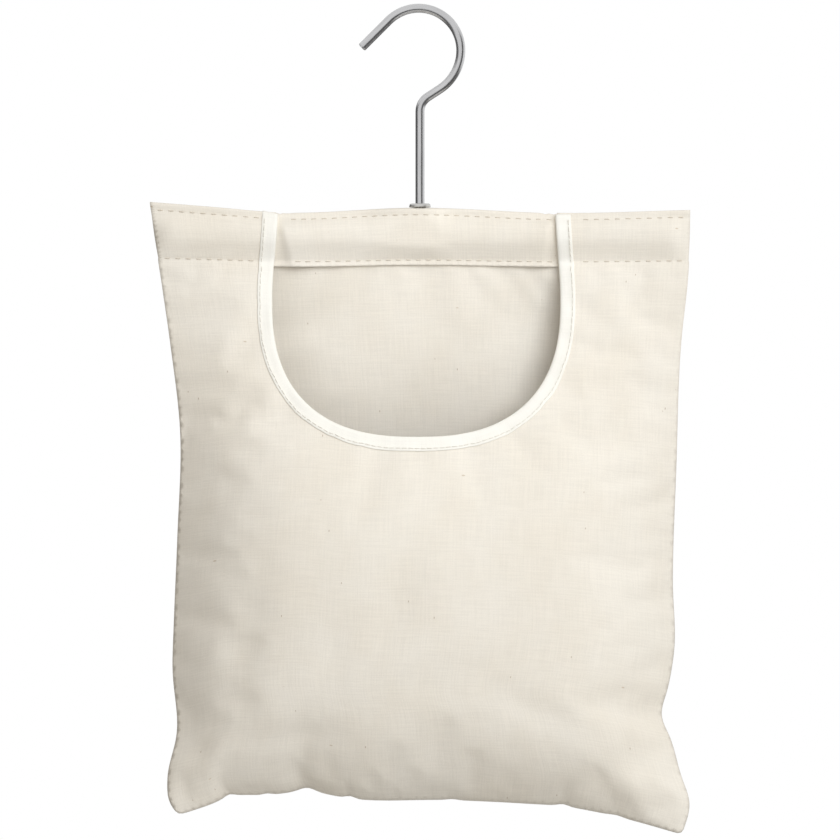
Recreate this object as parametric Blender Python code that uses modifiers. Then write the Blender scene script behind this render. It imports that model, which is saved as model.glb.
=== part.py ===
"""A hanging canvas peg bag: a wire hook that swivels in a wooden bar, and a sewn bag on the bar.

Metres, +Z up. The origin is the inside top of the hook's bend, on the shank's axis, which is where
the bag hangs from a rail. The bag's front faces -Y.
"""

import math

import bmesh
import bpy
from mathutils import Vector

MM = 0.001

# Hook
WIRE_RADIUS = 2.3 * MM
UPPER_BEND_RADIUS = 21.5 * MM
LOWER_BEND_RADIUS = 23.5 * MM
BEND_CENTRE_X = -0.7 * MM
BEND_START_DEG = 135
BEND_END_DEG = -57
TIP_LENGTH = 19.5 * MM
NECK_RADIUS = 9.0 * MM
SHANK_BOTTOM = -121.9 * MM

# Bag, measured where it hangs
BAG_TOP = -99.2 * MM
BAG_BOTTOM = -401.0 * MM
CORNER_DROP = 11.0 * MM
TOP_HALF_WIDTH = 137.5 * MM
WAIST_HALF_WIDTH = 125.0 * MM
CORNER_HALF_WIDTH = 131.5 * MM
WAIST_Z = -260.0 * MM
FRONT_BELLY = 45.0 * MM
BACK_BELLY = 31.0 * MM
BACK_FLAT = 24.0 * MM
CANVAS = 0.9 * MM
GAP = 0.3 * MM

# Bar in the casing, and the hardware round the shank
BAR_HALF_LENGTH = 126.0 * MM
BAR_TOP = -107.8 * MM
BAR_HEIGHT = 11.2 * MM
BAR_THICKNESS = 8.0 * MM
BAR_ROUNDING = 2.5 * MM
SWIVEL_HOLE_RADIUS = 2.6 * MM
WASHER_THICKNESS = 0.6 * MM
BARREL_RADIUS = 3.0 * MM
BARREL_BORE = 2.65 * MM

# Sewing
TOP_STITCH_Z = -102.9 * MM
HEM_STITCH_Z = -125.8 * MM
HEM_EDGE_Z = -129.6 * MM
SEAM_ALLOWANCE = 9.0 * MM
SEAM_TOP_Z = -150.0 * MM
THREAD_RADIUS = 0.35 * MM

# U-shaped opening in the front
OPENING_CENTRE_X = -1.5 * MM
OPENING_TOP_HALF_WIDTH = 70.8 * MM
OPENING_HALF_WIDTH = 73.3 * MM
OPENING_SHOULDER_Z = -146.0 * MM
OPENING_BOTTOM_Z = -216.0 * MM
OPENING_POWER = 2.5
BINDING_WIDTH = 7.6 * MM
BINDING_THICKNESS = 0.5 * MM
CUT_EDGE_SETBACK = 0.8 * MM

# Each layer of cloth lies at its own depth (Y), measured at the layer's middle
BACK_DEPTH = 0.75 * MM
CASING_DEPTH = -0.75 * MM
FACING_DEPTH = -2.85 * MM
FRONT_DEPTH = -4.05 * MM

# Between which heights the casing's layers come to stand out round the bar, from above and from
# below, and the same beside the shank, where they stay wide up to the top fold
FROM_ABOVE = (-104.8 * MM, -109.3 * MM)
FROM_BELOW = (-125.2 * MM, -118.5 * MM)
SHANK_FROM_ABOVE = (-100.1 * MM, -102.2 * MM)
SHANK_FROM_BELOW = (-125.2 * MM, -121.4 * MM)
FOLD_ROOM = 4.2 * MM

# Where the cloth is creased across: round the bar, at the stitches and under the top fold
MIDDLE_ROW = -113.5 * MM
HEM_ROWS = [HEM_STITCH_Z, FROM_BELOW[0], SHANK_FROM_BELOW[1], FROM_BELOW[1], MIDDLE_ROW]
HEM_ROWS += [FROM_ABOVE[1], FROM_ABOVE[0], TOP_STITCH_Z, SHANK_FROM_ABOVE[1]]
HALF_COLUMNS = [x * MM for x in (9, 24, 40, 56, 70, 84, 98, 111, 122, 129, 134, 137.5)]
COLUMNS = [-x for x in reversed(HALF_COLUMNS)] + [0.0] + HALF_COLUMNS
BELLY_ROWS = 20


def clear_scene():
    for obj in list(bpy.data.objects):
        bpy.data.objects.remove(obj, do_unlink=True)


def new_collection(name):
    collection = bpy.data.collections.new(name)
    bpy.context.scene.collection.children.link(collection)
    return collection


def material(name, colour, roughness, metallic=0.0):
    made = bpy.data.materials.new(name)
    made.use_nodes = True
    shader = made.node_tree.nodes["Principled BSDF"]
    shader.inputs["Base Color"].default_value = (*colour, 1.0)
    shader.inputs["Roughness"].default_value = roughness
    shader.inputs["Metallic"].default_value = metallic
    return made


def add_object(name, data, surface):
    made = bpy.data.objects.new(name, data)
    made.data.materials.append(surface)
    BAG.objects.link(made)
    return made


def smoothstep(low, high, value):
    t = min(max((value - low) / (high - low), 0.0), 1.0)
    return t * t * (3.0 - 2.0 * t)


def mix(a, b, t):
    return a + (b - a) * t


# ---- The shape of the cloth ------------------------------------------------------------------


def half_width(z):
    """Half the bag's width at a height: widest at the bar, waisted, wider again at the corners."""
    if z > WAIST_Z:
        rise = (z - WAIST_Z) / (BAG_TOP - WAIST_Z)
        return mix(WAIST_HALF_WIDTH, TOP_HALF_WIDTH, rise * rise)
    drop = (WAIST_Z - z) / (WAIST_Z - BAG_BOTTOM)
    return mix(WAIST_HALF_WIDTH, CORNER_HALF_WIDTH, drop * drop)


def bottom_z(across):
    """The bottom seam's height, for across from -1 to 1: lowest at the corners."""
    return BAG_BOTTOM - CORNER_DROP * abs(across) ** 3


def fullness(across, z):
    """0 at the seams and at the hem, 1 where the belly is fullest."""
    down = (HEM_EDGE_Z - z) / (HEM_EDGE_Z - bottom_z(across))
    if down <= 0.0:
        return 0.0
    fullest = 0.70
    if down < fullest:
        upright = math.sin(0.5 * math.pi * down / fullest) ** 1.15
    else:
        upright = math.sqrt(max(1.0 - ((down - fullest) / (1.0 - fullest)) ** 2, 0.0))
    return upright * math.sqrt(max(1.0 - abs(across) ** 2.6, 0.0))


def shank_room(x):
    """1 beside the shank, where the casing stays wide for the eyelet and the nut, 0 away from it."""
    return 1.0 - smoothstep(HALF_COLUMNS[0], HALF_COLUMNS[1], abs(x))


def ramp(zero, one, value):
    return min(max((value - zero) / (one - zero), 0.0), 1.0)


def bar_swell(x, z):
    """How far a layer of the casing stands out round the bar."""
    room = shank_room(x)
    above = ramp(*(mix(far, near, room) for far, near in zip(FROM_ABOVE, SHANK_FROM_ABOVE)), z)
    below = ramp(*(mix(far, near, room) for far, near in zip(FROM_BELOW, SHANK_FROM_BELOW)), z)
    ends = 1.0 - smoothstep(BAR_HALF_LENGTH + 1.5 * MM, TOP_HALF_WIDTH - 1.0 * MM, abs(x))
    return (0.5 * BAR_THICKNESS + 0.5 * CANVAS + GAP - BACK_DEPTH) * above * below * ends


def back_y(across, z):
    """The back panel's outer layer, with a level field where it rests on a wall."""
    belly = min(BACK_BELLY * fullness(across, z), BACK_FLAT)
    return BACK_DEPTH + bar_swell(across * half_width(z), z) + belly


def front_y(across, z):
    """The front panel's outer layer."""
    settle = smoothstep(HEM_EDGE_Z, OPENING_BOTTOM_Z, z)
    depth = mix(FRONT_DEPTH, -BACK_DEPTH, settle)
    return depth - bar_swell(across * half_width(z), z) - FRONT_BELLY * fullness(across, z)


# ---- Cloth pieces ----------------------------------------------------------------------------


def belly_rows():
    """Shares of the height from the bottom seam (0) to the hem (1), closer together at the bottom."""
    even = [row / BELLY_ROWS for row in range(BELLY_ROWS + 1)]
    return [0.7 * t + 0.3 * (1.0 - math.cos(0.5 * math.pi * t)) for t in even]


def grid_surface(rows, place):
    """An open grid of the columns by the given rows, each corner put where place(across, row) says."""
    mesh = bmesh.new()
    steps = len(COLUMNS) - 1
    bmesh.ops.create_grid(mesh, x_segments=steps, y_segments=len(rows) - 1, size=1.0)
    for vert in mesh.verts:
        column = round((vert.co.x + 1.0) * 0.5 * steps)
        row = round((vert.co.y + 1.0) * 0.5 * (len(rows) - 1))
        vert.co = place(COLUMNS[column] / TOP_HALF_WIDTH, rows[row])
    return mesh


def turn_in_seam_allowance(mesh, depth):
    """Folds the side and bottom edges inwards, flat against the other panel's allowance."""
    below = SEAM_TOP_Z + 0.1 * MM
    edges = [
        edge
        for edge in mesh.edges
        if edge.is_boundary and all(vert.co.z < below for vert in edge.verts)
    ]
    made = bmesh.ops.extrude_edge_only(mesh, edges=edges)["geom"]
    for vert in made:
        if not isinstance(vert, bmesh.types.BMVert):
            continue
        width = half_width(vert.co.z)
        across = vert.co.x / width
        low = bottom_z(across)
        up = (vert.co.z - low) / (SEAM_TOP_Z - low)
        vert.co.x = across * (width - SEAM_ALLOWANCE)
        vert.co.z += SEAM_ALLOWANCE * (1.0 - up)
        vert.co.y = depth


def cloth(name, mesh, thickness, surface):
    """Turns an open surface into a closed sheet of cloth."""
    bmesh.ops.recalc_face_normals(mesh, faces=mesh.faces)
    data = bpy.data.meshes.new(name)
    mesh.to_mesh(data)
    mesh.free()
    made = add_object(name, data, surface)
    solid = made.modifiers.new("Thickness", "SOLIDIFY")
    solid.thickness = thickness
    solid.offset = 0.0
    made.data.shade_smooth()
    return made


def folded_top(outer, inner, outer_depth, inner_depth):
    """Rows and places for a layer that runs up, over the top fold and down to the hem's edge."""
    fold_y = 0.5 * (outer_depth + inner_depth)
    fold_radius = 0.5 * abs(outer_depth - inner_depth)
    fold_z = BAG_TOP - 0.5 * CANVAS - fold_radius
    outward = math.copysign(1.0, outer_depth - inner_depth)
    rows = [("outer", z) for z in HEM_ROWS]
    rows += [("fold", math.radians(turn)) for turn in (30, 90, 150)]
    rows += [("inner", z) for z in reversed(HEM_ROWS)] + [("inner", HEM_EDGE_Z)]

    def place(across, row):
        kind, value = row
        if kind != "fold":
            x = across * half_width(value)
            return Vector((x, (outer if kind == "outer" else inner)(across, value), value))
        x = across * TOP_HALF_WIDTH
        room = FOLD_ROOM * shank_room(x) * math.copysign(1.0, math.cos(value))
        if abs(math.cos(value)) < 0.01:
            room = 0.0
        y = fold_y + outward * (fold_radius * math.cos(value) + room)
        return Vector((x, y, fold_z + fold_radius * math.sin(value)))

    return rows, place


def make_panel(name, outer, inner, outer_depth, inner_depth, surface):
    top_rows, place_top = folded_top(outer, inner, outer_depth, inner_depth)
    rows = [("belly", up) for up in belly_rows()] + top_rows

    def place(across, row):
        if row[0] != "belly":
            return place_top(across, row)
        z = mix(bottom_z(across), HEM_EDGE_Z, row[1])
        return Vector((across * half_width(z), outer(across, z), z))

    mesh = grid_surface(rows, place)
    turn_in_seam_allowance(mesh, math.copysign(BACK_DEPTH, outer_depth))
    return cloth(name, mesh, CANVAS, surface)


def make_back_panel(surface):
    def casing(across, z):
        return CASING_DEPTH - bar_swell(across * half_width(z), z)

    return make_panel("back_panel", back_y, casing, BACK_DEPTH, CASING_DEPTH, surface)


def make_front_panel(surface):
    def facing(across, z):
        return FACING_DEPTH - bar_swell(across * half_width(z), z)

    panel = make_panel("front_panel", front_y, facing, FRONT_DEPTH, FACING_DEPTH, surface)
    cut = panel.modifiers.new("Opening", "BOOLEAN")
    cut.object = opening_cutter()
    return panel


# ---- The U-shaped opening and its binding -------------------------------------------------------


def opening_outline(setback=0.0, curved=28):
    """Points (x, z) along the U's edge from top left, under, to top right, moved out by setback."""
    depth = OPENING_SHOULDER_Z - OPENING_BOTTOM_Z + setback
    width = OPENING_HALF_WIDTH + setback
    under_hem = [HEM_EDGE_Z - drop * MM for drop in (0.6, 5.0, 10.0)]
    points = []
    for z in [BAG_TOP - 1.1 * MM] + list(reversed(HEM_ROWS)) + under_hem:
        t = (z - BAG_TOP) / (OPENING_SHOULDER_Z - BAG_TOP)
        x = mix(OPENING_TOP_HALF_WIDTH + setback, width, math.sin(0.5 * math.pi * t))
        points.append((-x, z))
    straight = len(points)
    for i in range(curved + 1):
        turn = math.pi * i / curved
        c, s = math.cos(turn), math.sin(turn)
        x = -math.copysign(abs(c) ** (2.0 / OPENING_POWER), c) * width
        points.append((x, OPENING_SHOULDER_Z - s ** (2.0 / OPENING_POWER) * depth))
    points += [(-x, z) for x, z in reversed(points[:straight])]
    return [(x + OPENING_CENTRE_X, z) for x, z in points]


def opening_cutter():
    curve = bpy.data.curves.new("opening_cutter", "CURVE")
    curve.dimensions = "2D"
    curve.fill_mode = "BOTH"
    curve.extrude = 60.0 * MM
    points = opening_outline(CUT_EDGE_SETBACK)
    points = [(points[0][0], BAG_TOP + 20.0 * MM)] + points + [(points[-1][0], BAG_TOP + 20.0 * MM)]
    spline = curve.splines.new("POLY")
    spline.points.add(len(points) - 1)
    for point, (x, z) in zip(spline.points, points):
        point.co = (x, z, 0.0, 1.0)
    spline.use_cyclic_u = True
    outline = bpy.data.objects.new("opening_outline", curve)
    CUTTERS.objects.link(outline)
    outline.rotation_euler.x = 0.5 * math.pi
    bpy.context.view_layer.update()
    evaluated = outline.evaluated_get(bpy.context.evaluated_depsgraph_get())
    data = bpy.data.meshes.new_from_object(evaluated)
    mesh = bmesh.new()
    mesh.from_mesh(data)
    bmesh.ops.remove_doubles(mesh, verts=mesh.verts, dist=0.01 * MM)
    bmesh.ops.recalc_face_normals(mesh, faces=mesh.faces)
    mesh.to_mesh(data)
    mesh.free()
    cutter = bpy.data.objects.new("opening_cutter", data)
    cutter.matrix_world = outline.matrix_world
    CUTTERS.objects.link(cutter)
    bpy.data.objects.remove(outline, do_unlink=True)
    cutter.hide_render = True
    cutter.display_type = "WIRE"
    return cutter


def front_point(x, z, lift):
    """A point over the front panel's outer face, lift in front of the layer's middle."""
    across = x / half_width(z)
    return Vector((x, front_y(across, z) - lift, z))


def make_binding(surface):
    """Ivory tape folded over the cut edge: a channel with one leg on each face of the panel."""
    edge = opening_outline(0.5 * BINDING_THICKNESS)
    outer = opening_outline(BINDING_WIDTH)
    front_lift = 0.5 * CANVAS + GAP + 0.5 * BINDING_THICKNESS
    mesh = bmesh.new()
    bmesh.ops.create_grid(mesh, x_segments=len(edge) - 1, y_segments=5, size=1.0)
    for vert in mesh.verts:
        step = round((vert.co.x + 1.0) * 0.5 * (len(edge) - 1))
        row = round((vert.co.y + 1.0) * 2.5)
        ex, ez = edge[step]
        ox, oz = outer[step]
        hem = ramp(HEM_EDGE_Z - 5.0 * MM, HEM_EDGE_Z - 0.6 * MM, ez)
        back_lift = -mix(front_lift, front_lift + FACING_DEPTH - FRONT_DEPTH, hem)
        reach = (1.0, 0.5, 0.0, 0.0, 0.5, 1.0)[row]
        lift = front_lift if row < 3 else back_lift
        vert.co = front_point(mix(ex, ox, reach), mix(ez, oz, reach), lift)
    return cloth("opening_binding", mesh, BINDING_THICKNESS, surface)


# ---- Hook and hardware -----------------------------------------------------------------------


def hook_path():
    """The wire's middle line, from the cut tip over the bend, through the neck, down the shank."""
    def on_bend(degrees):
        """A point of the bend, which opens out a little below its widest place."""
        turn = math.radians(degrees)
        radius = UPPER_BEND_RADIUS if degrees > 0 else LOWER_BEND_RADIUS
        centre_x = BEND_CENTRE_X + UPPER_BEND_RADIUS - radius
        centre = Vector((centre_x, 0.0, WIRE_RADIUS - UPPER_BEND_RADIUS))
        return centre + radius * Vector((math.cos(turn), 0.0, math.sin(turn)))

    steps = 26
    bend = [on_bend(mix(BEND_START_DEG, BEND_END_DEG, i / steps)) for i in range(steps + 1)]
    tip_way = (bend[0] - on_bend(BEND_START_DEG - 0.1)).normalized()
    leave = math.radians(BEND_END_DEG - 90)
    leave_way = Vector((math.cos(leave), 0.0, math.sin(leave)))
    corner = bend[-1] + leave_way * (bend[-1].x / -leave_way.x)
    down = Vector((0.0, 0.0, -1.0))
    half_turn = 0.5 * leave_way.angle(down)
    tangent = NECK_RADIUS * math.tan(half_turn)
    neck_start = corner - leave_way * tangent
    neck_centre = neck_start + Vector((-leave_way.z, 0.0, leave_way.x)) * NECK_RADIUS
    neck = []
    for i in range(7):
        arm = neck_start - neck_centre
        turn = 2.0 * half_turn * i / 6
        c, s = math.cos(turn), math.sin(turn)
        neck.append(neck_centre + Vector((arm.x * c - arm.z * s, 0.0, arm.x * s + arm.z * c)))
    return [bend[0] + tip_way * TIP_LENGTH] + bend + neck + [Vector((0.0, 0.0, SHANK_BOTTOM))]


def tube(name, points, radius, surface, resolution=1):
    """A round wire or thread along the points, with its ends filled."""
    curve = bpy.data.curves.new(name, "CURVE")
    curve.dimensions = "3D"
    curve.bevel_depth = radius
    curve.bevel_resolution = resolution
    curve.use_fill_caps = True
    spline = curve.splines.new("POLY")
    spline.points.add(len(points) - 1)
    for point, place in zip(spline.points, points):
        point.co = (*place, 1.0)
    spline.use_smooth = True
    return add_object(name, curve, surface)


def turned(name, profile, surface, steps=24):
    """A ring turned about the shank from (radius, z) points, listed down the outside, up the bore."""
    data = bpy.data.meshes.new(name)
    points = [(radius, 0.0, z) for radius, z in profile]
    edges = [(i, (i + 1) % len(points)) for i in range(len(points))]
    data.from_pydata(points, edges, [])
    made = add_object(name, data, surface)
    screw = made.modifiers.new("Turn", "SCREW")
    screw.steps = steps
    screw.render_steps = steps
    screw.use_merge_vertices = True
    screw.merge_threshold = 0.00001
    screw.use_smooth_shade = True
    return made


def make_eyelet(surface):
    """A domed flange on the top fold, with a barrel through the cloth."""
    top = BAG_TOP + GAP
    barrel_bottom = BAG_TOP - 2.8 * MM
    profile = [
        (BARREL_BORE, top + 1.7 * MM),
        (3.6 * MM, top + 1.5 * MM),
        (5.0 * MM, top + 0.7 * MM),
        (5.5 * MM, top),
        (BARREL_RADIUS, top),
        (BARREL_RADIUS, barrel_bottom),
        (BARREL_BORE, barrel_bottom),
    ]
    return turned("eyelet", profile, surface)


def washer(name, inner, outer, top, thickness, surface):
    bottom = top - thickness
    profile = [(inner, top), (outer, top), (outer, bottom), (inner, bottom)]
    return turned(name, profile, surface)


def make_push_nut(surface):
    """A domed cap ring that bites the shank's end."""
    top = BAR_TOP - BAR_HEIGHT - 2 * GAP - WASHER_THICKNESS
    profile = [
        (SWIVEL_HOLE_RADIUS, top),
        (3.4 * MM, top),
        (3.4 * MM, top - 0.5 * MM),
        (3.1 * MM, top - 1.2 * MM),
        (SWIVEL_HOLE_RADIUS, top - 1.4 * MM),
    ]
    return turned("push_nut", profile, surface)


def cut_round_hole(target, radius, top, bottom):
    """Bores a hole for the shank down through a piece."""
    mesh = bmesh.new()
    bmesh.ops.create_cone(
        mesh,
        cap_ends=True,
        segments=24,
        radius1=radius,
        radius2=radius,
        depth=top - bottom,
    )
    data = bpy.data.meshes.new(target.name + "_bore")
    mesh.to_mesh(data)
    mesh.free()
    cutter = bpy.data.objects.new(target.name + "_bore", data)
    cutter.location.z = 0.5 * (top + bottom)
    cutter.hide_render = True
    cutter.display_type = "WIRE"
    CUTTERS.objects.link(cutter)
    cut = target.modifiers.new("Bore", "BOOLEAN")
    cut.object = cutter


def make_hanger_bar(surface):
    mesh = bmesh.new()
    bmesh.ops.create_cube(mesh, size=1.0)
    size = Vector((2.0 * BAR_HALF_LENGTH, BAR_THICKNESS, BAR_HEIGHT))
    bmesh.ops.scale(mesh, vec=size, verts=mesh.verts)
    data = bpy.data.meshes.new("hanger_bar")
    mesh.to_mesh(data)
    mesh.free()
    bar = add_object("hanger_bar", data, surface)
    bar.location.z = BAR_TOP - 0.5 * BAR_HEIGHT
    rounding = bar.modifiers.new("Rounding", "BEVEL")
    rounding.width = BAR_ROUNDING
    rounding.segments = 3
    cut_round_hole(bar, SWIVEL_HOLE_RADIUS, BAR_TOP + 5.0 * MM, BAR_TOP - BAR_HEIGHT - 5.0 * MM)
    return bar


# ---- Thread ----------------------------------------------------------------------------------


def span(low, high, count):
    return [mix(low, high, i / (count - 1)) for i in range(count)]


def make_threads(surface, binding_surface):
    over = 0.5 * CANVAS + GAP + THREAD_RADIUS
    over_binding = over + GAP + BINDING_THICKNESS
    outer_end = 133.0 * MM
    shoulder = OPENING_HALF_WIDTH + BINDING_WIDTH + 3.0 * MM
    inside = OPENING_TOP_HALF_WIDTH - 3.0 * MM

    def casing_point(x, z):
        return Vector((x, CASING_DEPTH - bar_swell(x, z) - over, z))

    def back_point(x, z):
        return Vector((x, back_y(x / half_width(z), z) + over, z))

    for side, sign in (("left", -1.0), ("right", 1.0)):
        for row, z in (("top", TOP_STITCH_Z), ("hem", HEM_STITCH_Z)):
            path = [front_point(x, z, over) for x in span(sign * shoulder, sign * outer_end, 4)]
            tube(f"thread_{row}_{side}", path, THREAD_RADIUS, surface)
        end_x = sign * (OPENING_TOP_HALF_WIDTH + 0.7 * BINDING_WIDTH) + OPENING_CENTRE_X
        path = [front_point(end_x, z, over_binding) for z in HEM_ROWS]
        tube(f"thread_end_{side}", path, THREAD_RADIUS, binding_surface)

    for name, point, end, z in (
        ("thread_top_middle", casing_point, inside, TOP_STITCH_Z),
        ("thread_casing", casing_point, inside, HEM_STITCH_Z),
        ("bobbin_top", back_point, outer_end, TOP_STITCH_Z),
        ("bobbin_casing", back_point, outer_end, HEM_STITCH_Z),
    ):
        scale = half_width(z) / TOP_HALF_WIDTH
        xs = [x * scale for x in COLUMNS if abs(x * scale) < end - 1.0 * MM]
        path = [point(x, z) for x in [-end] + xs + [end]]
        tube(name, path, THREAD_RADIUS, surface)

    line = opening_outline(0.78 * BINDING_WIDTH)
    path = [front_point(x, z, over_binding) for x, z in line if z < HEM_EDGE_Z]
    tube("thread_binding", path, THREAD_RADIUS, binding_surface)
    make_seam_threads(surface, over)


def make_seam_threads(surface, over):
    """The seams that close the bag, on the front panel's turned-in allowance."""
    depth = -BACK_DEPTH - over
    inset = 4.0 * MM
    for side, sign in (("left", -1.0), ("right", 1.0)):
        heights = span(OPENING_BOTTOM_Z - 4.0 * MM, BAG_BOTTOM + 45.0 * MM, 12)
        path = [Vector((sign * (half_width(z) - inset), depth, z)) for z in heights]
        tube(f"thread_side_{side}", path, THREAD_RADIUS, surface)
    path = []
    for across in span(-0.78, 0.78, 16):
        z = bottom_z(across) + inset
        path.append(Vector((across * half_width(z), depth, z)))
    tube("thread_bottom", path, THREAD_RADIUS, surface)


def build():
    steel = material("steel_wire", (0.55, 0.56, 0.58), 0.28, 1.0)
    plated = material("plated_steel", (0.60, 0.60, 0.62), 0.2, 1.0)
    canvas = material("canvas", (0.80, 0.75, 0.66), 0.9)
    tape = material("ivory_tape", (0.93, 0.90, 0.82), 0.85)
    thread = material("thread", (0.78, 0.72, 0.62), 0.8)
    tape_thread = material("ivory_thread", (0.90, 0.87, 0.80), 0.8)
    wood = material("beech", (0.62, 0.44, 0.27), 0.6)

    tube("hook", hook_path(), WIRE_RADIUS, steel, resolution=3)
    under_bar = BAR_TOP - BAR_HEIGHT - GAP
    washer("swivel_washer", SWIVEL_HOLE_RADIUS, 3.6 * MM, under_bar, WASHER_THICKNESS, plated)
    make_push_nut(plated)
    make_eyelet(plated)
    under_fold = BAG_TOP - CANVAS - 0.45 * MM
    barrel_hole = BARREL_RADIUS + GAP
    washer("eyelet_washer", barrel_hole, 4.2 * MM, under_fold, WASHER_THICKNESS, plated)
    make_hanger_bar(wood)
    back = make_back_panel(canvas)
    cut_round_hole(back, barrel_hole, BAG_TOP + 5.0 * MM, BAG_TOP - 3.0 * MM)
    make_front_panel(canvas)
    make_binding(tape)
    make_threads(thread, tape_thread)


clear_scene()
BAG = new_collection("hanging_peg_bag")
CUTTERS = new_collection("cutters")
build()
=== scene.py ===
"""The looks of a hanging canvas peg bag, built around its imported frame.

Lengths are metres in the frame's axes: +Z up, the bag's front towards -Y. A point of the flat cloth is
(u, v): u across from the middle, v down the cloth from the top fold, below 0 on the turned-in hem.
"""

import math

import bmesh
import bpy
import numpy as np
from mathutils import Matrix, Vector, geometry
from mathutils import noise as field
from mathutils.bvhtree import BVHTree


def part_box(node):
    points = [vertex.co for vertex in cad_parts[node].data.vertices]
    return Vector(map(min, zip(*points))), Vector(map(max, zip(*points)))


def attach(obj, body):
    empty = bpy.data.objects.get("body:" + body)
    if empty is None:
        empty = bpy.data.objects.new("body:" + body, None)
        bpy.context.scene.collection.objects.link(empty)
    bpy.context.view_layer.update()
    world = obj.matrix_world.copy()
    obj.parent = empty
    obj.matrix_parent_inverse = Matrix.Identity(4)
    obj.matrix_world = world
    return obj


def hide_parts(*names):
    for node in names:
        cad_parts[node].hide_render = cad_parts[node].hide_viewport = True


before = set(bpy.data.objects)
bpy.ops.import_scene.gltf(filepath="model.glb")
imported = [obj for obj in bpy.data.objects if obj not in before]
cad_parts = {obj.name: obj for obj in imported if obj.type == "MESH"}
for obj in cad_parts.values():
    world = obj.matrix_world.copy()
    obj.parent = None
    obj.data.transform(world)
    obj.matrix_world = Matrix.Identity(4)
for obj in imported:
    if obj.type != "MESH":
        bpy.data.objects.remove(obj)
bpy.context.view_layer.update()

MM = 0.001

# Taken from the frame
PANEL_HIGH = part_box("front_panel")[1]
TOP = PANEL_HIGH.z
HALF = PANEL_HIGH.x
BAR_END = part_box("hanger_bar")[1].x

# The flat cut of each panel, below the top fold
LENGTH = 316.0 * MM
HEM = 26.6 * MM
HEM_DEPTH = 29.3 * MM
TOP_STITCH = 3.7 * MM
CANVAS = 0.9 * MM
SPACING = 4.5 * MM

# Each side seam from the top: (drop below the frame's top, distance from the middle), in mm
LEFT_SIDE = [
    (-2.8, 137.5), (34.7, 131.7), (69.3, 126.7), (113.8, 121.7), (169.3, 123.2), (210.8, 124.9),
    (234.8, 125.6), (267.0, 123.3), (292.0, 128.3), (303.0, 127.2), (308.9, 122.9),
]
RIGHT_SIDE = [
    (1.3, 137.5), (33.5, 136.2), (71.0, 132.4), (132.0, 130.1), (190.8, 128.3), (226.0, 129.0),
    (244.0, 126.0), (259.0, 122.4), (270.5, 127.2), (289.0, 132.4), (303.6, 137.0), (318.8, 133.2),
]
# The bottom seam from corner to corner: (distance from the middle, drop below the top), in mm
BOTTOM = [
    (-122.9, 308.9), (-108.0, 304.0), (-96.0, 299.4), (-78.0, 298.7), (-57.0, 297.0), (-35.0, 300.6),
    (14.0, 301.3), (54.0, 303.1), (72.0, 304.4), (87.0, 306.8), (109.0, 311.9), (133.2, 318.8),
]
# How far the top fold stands above the frame's top, along the bag, in mm
TOP_EDGE = [(-137.5, 2.8), (-105.0, 0.2), (-76.0, -2.3), (0.0, 0.0), (71.0, -2.8), (137.5, -1.3)]

# The U-shaped opening
U_CENTRE = -1.9 * MM
U_TOP_HALF = 70.8 * MM
U_HALF = 73.3 * MM
U_SHOULDER = 46.8 * MM
U_DEPTH = 116.8 * MM
U_POWER = 2.5
CUT_SETBACK = 0.8 * MM

# Depth of each layer's middle at the stitches, as in the frame
BACK_DEPTH = 0.75 * MM
CASING_DEPTH = -0.75 * MM
FACING_DEPTH = -2.85 * MM
FRONT_DEPTH = -4.05 * MM
FRONT_BELLY = 38.0 * MM
BACK_BELLY = 24.0 * MM
BAR_SWELL = 4.0 * MM

# How much larger the cloth is cut than the shape it is sewn to
CUT_EASE = 0.006


# ---- Small tools -----------------------------------------------------------------------------


def mix(a, b, t):
    return a + (b - a) * t


def smoothstep(low, high, value):
    t = min(max((value - low) / (high - low), 0.0), 1.0)
    return t * t * (3.0 - 2.0 * t)


def wave(a, b, size, seed):
    """Smooth noise from -1 to 1, with bumps about the given size."""
    return field.noise(Vector((a / size, b / size, seed)))


def distances(points):
    """How far along a line each of its points lies."""
    steps = np.linalg.norm(np.diff(points, axis=0), axis=1)
    return np.concatenate([[0.0], np.cumsum(steps)])


def respaced(points, count):
    """The same line with its points evenly spaced."""
    points = np.array(points, float)
    along = distances(points)
    at = np.linspace(0.0, along[-1], count)
    return np.stack([np.interp(at, along, points[:, k]) for k in range(points.shape[1])], axis=1)


def curve_through(points, count=800):
    """Evenly spaced points on a smooth curve through the given ones."""
    points = np.array(points, float)
    at = distances(points)
    slope = np.gradient(points, at, axis=0)
    fine = np.linspace(0.0, at[-1], 40 * len(points))
    i = np.clip(np.searchsorted(at, fine, side="right") - 1, 0, len(at) - 2)
    step = (at[i + 1] - at[i])[:, None]
    t = (fine - at[i])[:, None] / step
    dense = (
        (2 * t**3 - 3 * t**2 + 1) * points[i]
        + (t**3 - 2 * t**2 + t) * step * slope[i]
        + (-2 * t**3 + 3 * t**2) * points[i + 1]
        + (t**3 - t**2) * step * slope[i + 1]
    )
    return respaced(dense, count)


def line_length(points):
    return float(np.linalg.norm(np.diff(np.array(points), axis=0), axis=1).sum())


def on_line(line, share):
    at = min(max(share, 0.0), 1.0) * (len(line) - 1)
    i = min(int(at), len(line) - 2)
    return line[i] + (line[i + 1] - line[i]) * (at - i)


# ---- Where the cloth hangs -------------------------------------------------------------------


def side_curve(points, sign):
    """A side seam as (x, z) from the top down."""
    return curve_through([(sign * x * MM, TOP - drop * MM) for drop, x in points])


LEFT_SEAM = side_curve(LEFT_SIDE, -1.0)
RIGHT_SEAM = side_curve(RIGHT_SIDE, 1.0)
UNDER_SEAM = curve_through([(x * MM, TOP - drop * MM) for x, drop in BOTTOM])
TOP_RISE = curve_through(np.array(TOP_EDGE) * MM)
HEM_SETTLE = 0.35


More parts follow.
